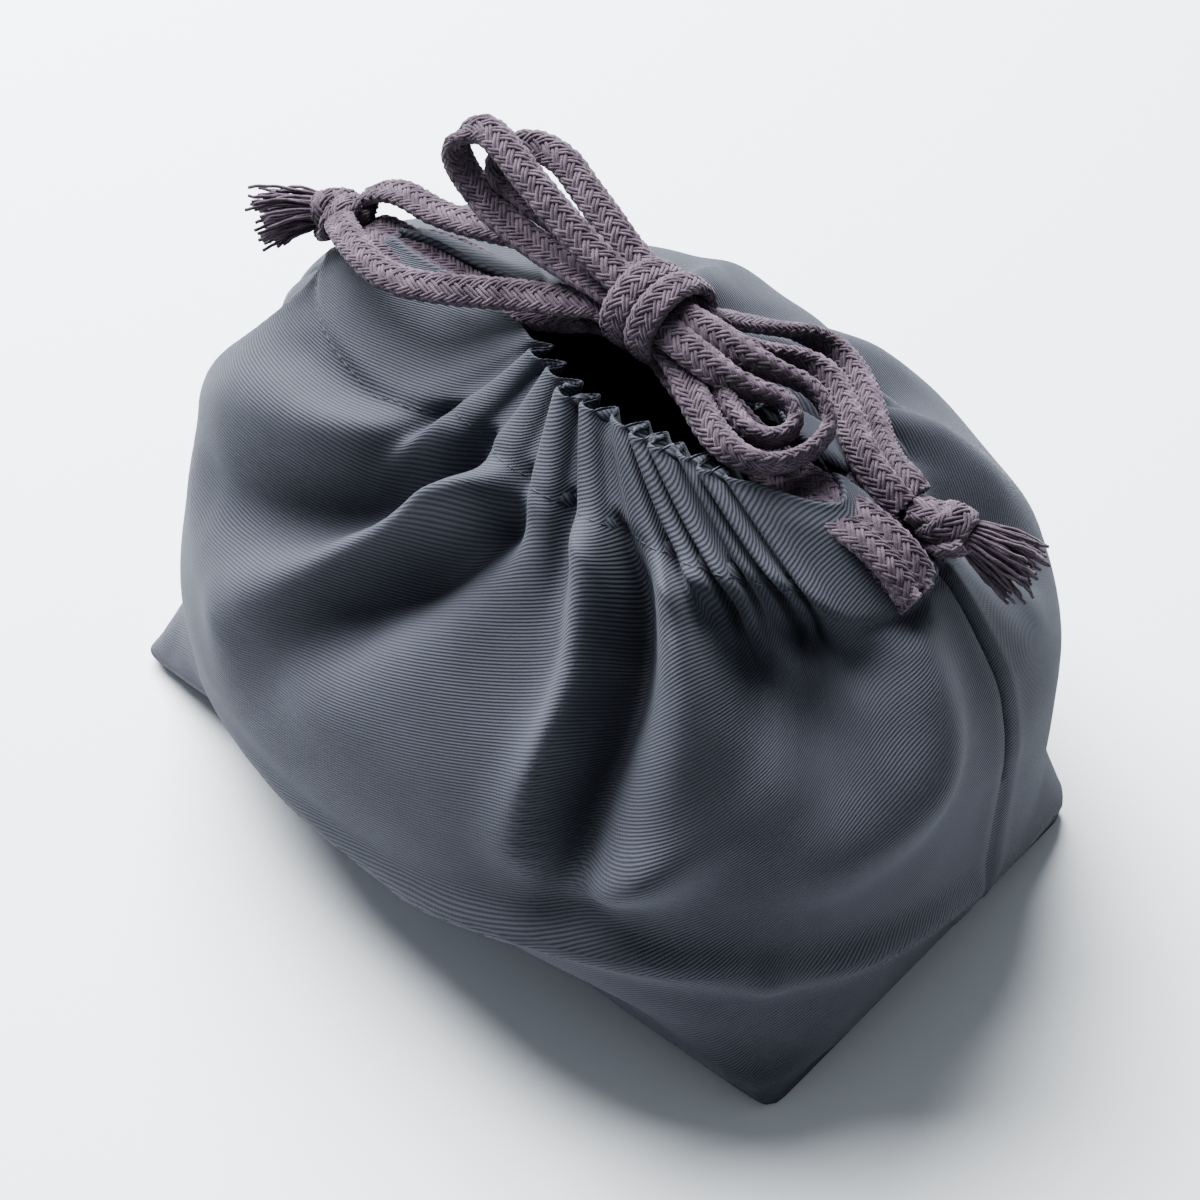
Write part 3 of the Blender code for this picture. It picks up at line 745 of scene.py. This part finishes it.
def twillMaterial(s):
    material = bpy.data.materials.new("slateTwill")
    material.use_nodes = True
    g = Graph(material.node_tree)
    shader = material.node_tree.nodes["Principled BSDF"]
    uv = g.add("ShaderNodeUVMap", uv_map="weave").outputs["UV"]
    place = g.add("ShaderNodeTexCoord").outputs["Object"]
    turned = g.add("ShaderNodeMapping", {"Vector": uv, "Rotation": (0.0, 0.0, math.radians(-s["slant"]))})
    turned = turned.outputs["Vector"]
    split = g.add("ShaderNodeSeparateXYZ", {"Vector": turned}).outputs
    wander = g.add("ShaderNodeTexNoise", {"Vector": uv, "Scale": 300.0, "Detail": 2.0}).outputs["Fac"]
    beat = g.math("MULTIPLY", split["Y"], 2 * math.pi / (s["wale"] * mm))
    beat = g.math("ADD", beat, g.math("MULTIPLY", wander, 1.3))
    rib = g.math("ADD", g.math("MULTIPLY", g.math("COSINE", beat), 0.5), 0.5)
    # short floats cross each rib
    stitch = g.math("MULTIPLY", split["X"], 2 * math.pi / (0.62 * mm))
    stitch = g.math("ADD", stitch, g.math("MULTIPLY", beat, 0.5))
    float_ = g.math("ADD", g.math("MULTIPLY", g.math("SINE", stitch), 0.5), 0.5)
    fibre = g.add("ShaderNodeTexNoise", {"Vector": place, "Scale": 5200.0, "Detail": 2.0}).outputs["Fac"]
    height = g.math("ADD", g.math("MULTIPLY", g.math("POWER", rib, 0.7), 1.0),
                    g.math("ADD", g.math("MULTIPLY", float_, 0.22), g.math("MULTIPLY", fibre, 0.35)))
    cloud = g.add("ShaderNodeTexNoise", {"Vector": place, "Scale": 38.0, "Detail": 4.0}).outputs["Fac"]
    tone = g.math("ADD", g.math("MULTIPLY", rib, 0.42),
                  g.math("ADD", g.math("MULTIPLY", cloud, 0.3), g.math("MULTIPLY", fibre, 0.3)))
    ramp = g.add("ShaderNodeValToRGB", {"Fac": tone})
    ramp.color_ramp.elements[0].position = 0.18
    ramp.color_ramp.elements[0].color = (*s["dark"], 1.0)
    ramp.color_ramp.elements[1].position = 0.92
    ramp.color_ramp.elements[1].color = (*s["pale"], 1.0)
    ramp.color_ramp.elements.new(0.52).color = (*s["middle"], 1.0)
    g.feed(shader, "Base Color", ramp.outputs["Color"])
    bump = g.add("ShaderNodeBump", {"Height": height, "Strength": 0.6, "Distance": 0.0002})
    g.feed(shader, "Normal", bump.outputs["Normal"])
    shader.inputs["Roughness"].default_value = 0.78
    shader.inputs["Specular IOR Level"].default_value = 0.32
    shader.inputs["Sheen Weight"].default_value = 0.12
    shader.inputs["Sheen Roughness"].default_value = 0.4
    shader.inputs["Sheen Tint"].default_value = (0.80, 0.86, 0.95, 1.0)
    return material


slate = twillMaterial(twill)
pouch = buildPouch()
pouch.data.materials.append(slate)
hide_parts("pouch_body")
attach(pouch, "root")
print("cloth has", len(pouch.data.polygons), "faces")


stitching = {"spacing": 3.1, "length": 1.0, "thickness": 0.17, "lift": 0.06}


def stitchTree():
    tree = newTree("stitchRow", (
        ("Spacing", "Float", 0.003), ("Stitch Length", "Float", 0.001), ("Thickness", "Float", 0.0002),
        ("Material", "Material", None)))
    g = Graph(tree)
    entry = g.add("NodeGroupInput").outputs
    line = g.add("GeometryNodeMeshToCurve", {"Mesh": entry["Geometry"]}).outputs["Curve"]
    points = g.add("GeometryNodeCurveToPoints", {"Curve": line, "Length": entry["Spacing"]}, mode="LENGTH")
    grain = g.add("GeometryNodeMeshUVSphere", {"Segments": 8, "Rings": 6, "Radius": 1.0}).outputs["Mesh"]
    size = g.add("ShaderNodeCombineXYZ", {"X": entry["Thickness"], "Y": entry["Thickness"],
                                          "Z": entry["Stitch Length"]}).outputs[0]
    copies = g.add("GeometryNodeInstanceOnPoints", {"Points": points.outputs["Points"], "Instance": grain,
                                                    "Rotation": points.outputs["Rotation"], "Scale": size})
    solid = g.add("GeometryNodeRealizeInstances", {"Geometry": copies.outputs[0]})
    smooth = g.add("GeometryNodeSetShadeSmooth", {"Geometry": solid.outputs[0]})
    painted = g.add("GeometryNodeSetMaterial", {"Geometry": smooth.outputs[0], "Material": entry["Material"]})
    g.add("NodeGroupOutput", {"Geometry": painted.outputs[0]})
    return tree


def sewCasing(s=stitching):
    vertices, edges = [], []
    for line, normal in stitchPaths:
        start = len(vertices)
        vertices += [tuple(p) for p in (line + normal * s["lift"]) * mm]
        edges += [(start + i, start + i + 1) for i in range(len(line) - 1)]
    mesh = bpy.data.meshes.new("stitchLine")
    mesh.from_pydata(vertices, edges, [])
    return applied("casing_stitches", mesh, stitchTree(), {
        "Spacing": s["spacing"] * mm, "Stitch Length": s["length"] * mm, "Thickness": s["thickness"] * mm,
        "Material": thread})


thread = bpy.data.materials.new("slateThread")
thread.use_nodes = True
thread.node_tree.nodes["Principled BSDF"].inputs["Base Color"].default_value = (0.06, 0.066, 0.08, 1.0)
thread.node_tree.nodes["Principled BSDF"].inputs["Roughness"].default_value = 0.7
stitches = sewCasing()
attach(stitches, "root")
print("casing sewn,", len(stitches.data.polygons), "faces")


# Geometry of the wraps, knots and yarn ends
knots = {
    "bow": {"middle": (9.0, 9.4, 135.6), "across": 8.6, "up": 8.9, "spread": 3.5, "lean": 3.2},
    "left": {"from": (-71.0, 3.6, 122.8), "to": (-82.5, -3.0, 119.6), "radius": 3.7, "turns": 1.62},
    "right": {"from": (75.0, 13.0, 119.0), "to": (88.5, 18.6, 114.6), "radius": 3.7, "turns": 1.62},
}

tassels = {
    "left": {"line": ((-79.5, -0.8, 120.2), (-84, -3.8, 119.8), (-88.5, -7.6, 119.0), (-93, -11.6, 117.4))},
    "right": {"line": ((85.0, 17.0, 115.6), (89.5, 18.8, 113.8), (94.5, 21.2, 110.8), (99.0, 24.0, 106.6))},
    "yarns": 110, "neck": 2.9, "end": 7.4, "yarnRadius": 0.38, "wobble": 5.0, "shortest": 0.62,
}


def bowWraps(s):
    middle = np.array(s["middle"])
    pieces = []
    for number, offset in enumerate((-s["spread"], s["spread"])):
        route = []
        for turn in np.linspace(-0.58, 0.58, 25):
            a = 2 * math.pi * turn
            lean = s["lean"] * math.sin(a)
            route.append(middle + np.array((offset + lean * 0.35 + 0.6 * math.cos(a), s["across"] * math.sin(a),
                                            s["up"] * math.cos(a))))
        swell = 1.0 + 0.03 * number
        route = [middle + (p - middle) * np.array((1, swell, swell)) for p in route]
        pieces.append(braidAlong("wrap", route, ((0.0, (1, 0, 0)), (1.0, (1, 0, 0))), seed=40.0 + number)[0])
    core = braidAlong("core", [middle + np.array((x, 0.4 * x * 0.2, -0.6)) for x in np.linspace(-8.5, 8.5, 6)],
                      ((0.0, (0, 1, 0)), (1.0, (0, 1, 0))), seed=44.0)[0]
    return joined("bow_wraps", pieces + [core])


def joined(name, pieces):
    work = bmesh.new()
    for piece in pieces:
        work.from_mesh(piece.data)
    mesh = bpy.data.meshes.new(name)
    work.to_mesh(mesh)
    work.free()
    mesh.shade_smooth()
    mesh.materials.append(mauve)
    for piece in pieces:
        old = piece.data
        bpy.data.objects.remove(piece)
        bpy.data.meshes.remove(old)
    piece = bpy.data.objects.new(name, mesh)
    bpy.context.collection.objects.link(piece)
    return piece


def overhandKnot(name, s, seed):
    start, end = np.array(s["from"]), np.array(s["to"])
    axis = unit(end - start)
    side = unit(np.cross(axis, (0.0, 0.0, 1.0)))
    top = np.cross(side, axis)
    middle = 0.5 * (start + end)
    length = np.linalg.norm(end - start)
    route, hints = [], []
    steps = 30
    for i in range(steps + 1):
        t = i / steps
        a = 2 * math.pi * s["turns"] * t + seed
        reach = s["radius"] * (0.72 + 0.28 * math.sin(math.pi * t))
        slip = (t - 0.5) * length * 0.40 + 1.5 * math.sin(a)
        route.append(middle + axis * slip + (side * math.cos(a) + top * math.sin(a)) * reach)
        lean = axis + 0.45 * (-side * math.sin(a) + top * math.cos(a)) * math.cos(a)
        hints.append((t, tuple(lean)))
    wrap = braidAlong("turn", route, hints, seed=50.0 + seed)[0]
    # the last turn crosses over the others
    cross = []
    for t in np.linspace(0, 1, 12):
        a = seed + 0.9 + 2.5 * t
        cross.append(middle + axis * (t - 0.5) * length * 0.62
                     + (side * math.cos(a) + top * math.sin(a)) * (s["radius"] + 1.5 * math.sin(math.pi * t)))
    over = braidAlong("over", cross, ((0.0, tuple(axis + side)), (1.0, tuple(axis - side))), seed=53.0 + seed)[0]
    cores = []
    for shift in (-1.5, 1.5):
        line = [start + (end - start) * t + top * shift * math.sin(math.pi * min(1.0, max(0.0, t))) ** 0.5
                for t in np.linspace(-0.05, 1.0, 6)]
        cores.append(braidAlong("core", line, ((0.0, tuple(side)), (1.0, tuple(side))), seed=57.0 + seed + shift)[0])
    return joined(name, [wrap, over] + cores)


def fringeTree():
    tree = newTree("yarnEnds", (
        ("Yarns", "Int", 80), ("Neck", "Float", 0.0026), ("End", "Float", 0.006), ("Yarn Radius", "Float", 0.0004),
        ("Wobble", "Float", 0.002), ("Shortest", "Float", 0.7), ("Seed", "Int", 1), ("Material", "Material", None)))
    g = Graph(tree)
    entry = g.add("NodeGroupInput").outputs
    line = g.add("GeometryNodeMeshToCurve", {"Mesh": entry["Geometry"]}).outputs["Curve"]
    copies = g.add("GeometryNodeDuplicateElements", {"Geometry": line, "Amount": entry["Yarns"]}, domain="SPLINE")
    index = copies.outputs["Duplicate Index"]

    def attribute(label, kind):
        return g.add("GeometryNodeInputNamedAttribute", {"Name": label}, data_type=kind).outputs["Attribute"]

    part = attribute("part", "FLOAT")
    chance = g.add("FunctionNodeRandomValue", {"ID": index, "Seed": entry["Seed"]}, data_type="FLOAT").outputs[1]
    angle = g.math("ADD", g.math("MULTIPLY", index, 2.39996), g.math("MULTIPLY", chance, 1.2))
    share = g.math("SQRT", g.math("DIVIDE", g.math("ADD", index, 0.5), entry["Yarns"]))
    spread = g.math("ADD", entry["Neck"], g.math("MULTIPLY", g.math("SUBTRACT", entry["End"], entry["Neck"]),
                                                 g.math("POWER", part, 0.8)))
    reach = g.math("MULTIPLY", share, spread)
    out = g.vector("ADD", g.scaled(attribute("wide", "FLOAT_VECTOR"), g.math("MULTIPLY", g.math("COSINE", angle), reach)),
                   g.scaled(attribute("thick", "FLOAT_VECTOR"), g.math("MULTIPLY", g.math("SINE", angle), reach)))
    short = g.math("MULTIPLY", g.math("MULTIPLY", part, g.math("SUBTRACT", 1.0, entry["Shortest"])), chance)
    back = g.scaled(attribute("whole", "FLOAT_VECTOR"), g.math("MULTIPLY", short, -1.0))
    here = g.add("GeometryNodeInputPosition").outputs[0]
    grain = g.add("ShaderNodeTexNoise", {"Vector": here, "Scale": 110.0, "Detail": 2.0,
                                         "W": g.math("MULTIPLY", index, 0.37)}, noise_dimensions="4D")
    shake = g.scaled(g.vector("SUBTRACT", grain.outputs["Color"], (0.5, 0.5, 0.5)),
                     g.math("MULTIPLY", entry["Wobble"], part))
    moved = g.add("GeometryNodeSetPosition", {"Geometry": copies.outputs["Geometry"],
                                              "Offset": g.vector("ADD", g.vector("ADD", out, back), shake)})
    ring = g.add("GeometryNodeCurvePrimitiveCircle", {"Resolution": 6, "Radius": entry["Yarn Radius"]})
    tube = g.add("GeometryNodeCurveToMesh", {"Curve": moved.outputs[0], "Profile Curve": ring.outputs[0],
                                             "Fill Caps": True})
    smooth = g.add("GeometryNodeSetShadeSmooth", {"Geometry": tube.outputs[0]})
    solid = g.add("GeometryNodeRealizeInstances", {"Geometry": smooth.outputs[0]})
    painted = g.add("GeometryNodeSetMaterial", {"Geometry": solid.outputs[0], "Material": entry["Material"]})
    g.add("NodeGroupOutput", {"Geometry": painted.outputs[0]})
    return tree


def tassel(name, line, seed, s=tassels):
    points, along = smoothLine(line, 0.8)
    mesh = guideMesh(name, points, np.tile((0.0, 0.3, 1.0), (len(points), 1)), along)
    mesh.attributes.new("part", "FLOAT", "POINT").data.foreach_set("value", along / along[-1])
    whole = np.tile((points[-1] - points[0]) * mm, (len(points), 1))
    mesh.attributes.new("whole", "FLOAT_VECTOR", "POINT").data.foreach_set("vector", whole.ravel())
    piece = applied(name, mesh, fringe, {
        "Yarns": s["yarns"], "Neck": s["neck"] * mm, "End": s["end"] * mm, "Yarn Radius": s["yarnRadius"] * mm,
        "Wobble": s["wobble"] * mm, "Shortest": s["shortest"], "Seed": seed, "Material": mauve})
    return piece


casingCords = {
    "left_cord_in_casing": {"height": 116.2, "openSide": -1, "end": (-71.0, 2.6, 117.0)},
    "right_cord_in_casing": {"height": 120.2, "openSide": 1, "end": (87.0, 2.6, 111.5)},
    "depth": 1.75, "gap": 0.13, "squeeze": 0.30,
}


def casingCord(name, s, seed):
    route, hints, steps = [], [], 90
    for i in range(steps + 1):
        t = i / steps
        a = casingCords["gap"] + (2 * math.pi - 2 * casingCords["gap"]) * t
        angle = math.atan2(math.sin(a) * casingCords["squeeze"], math.cos(a)) + (math.pi if s["openSide"] < 0 else 0.0)
        around = np.array((angle - 0.01, angle, angle + 0.01))
        low = shutMouth(bodyPoint(around, np.full(3, s["height"] - 1.0)))
        high = shutMouth(bodyPoint(around, np.full(3, s["height"] + 1.0)))
        slope = unit(high[1] - low[1])
        outward = unit(np.cross(low[2] - low[0], slope))
        route.append(0.5 * (low[1] + high[1]) - outward * casingCords["depth"])
        hints.append((t, tuple(slope)))
    first, last = np.array(s["end"]), np.array(s["end"]) * (1, -1, 1)
    if route[0][1] < 0:
        first, last = last, first
    route = [first] + route[1:-1] + [last]
    return braidAlong(name, route, hints, seed=seed)


fringe = fringeTree()
wraps = bowWraps(knots["bow"])
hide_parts("bow_knot")
casings, ends, fringes = {}, {}, {}
for number, side in enumerate(("left", "right")):
    casings[side] = casingCord(side + "Casing", casingCords[side + "_cord_in_casing"], 60.0 + number)
    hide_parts(side + "_cord_in_casing")
    ends[side] = overhandKnot(side + "Knot", knots[side], 1.0 + 2.0 * number)
    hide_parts(side + "_end_knot")
    fringes[side] = tassel(side + "Tassel", tassels[side]["line"], 3 + number)
    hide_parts(side + "_tassel")
for piece in [wraps, *ends.values(), *fringes.values(), *(c[0] for c in casings.values())]:
    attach(piece, "root")
    print(piece.name, len(piece.data.polygons), "faces")


# the cords and the cloth, as they would be cut
for name, (piece, path, length) in cords.items():
    side = name.split("_")[0]
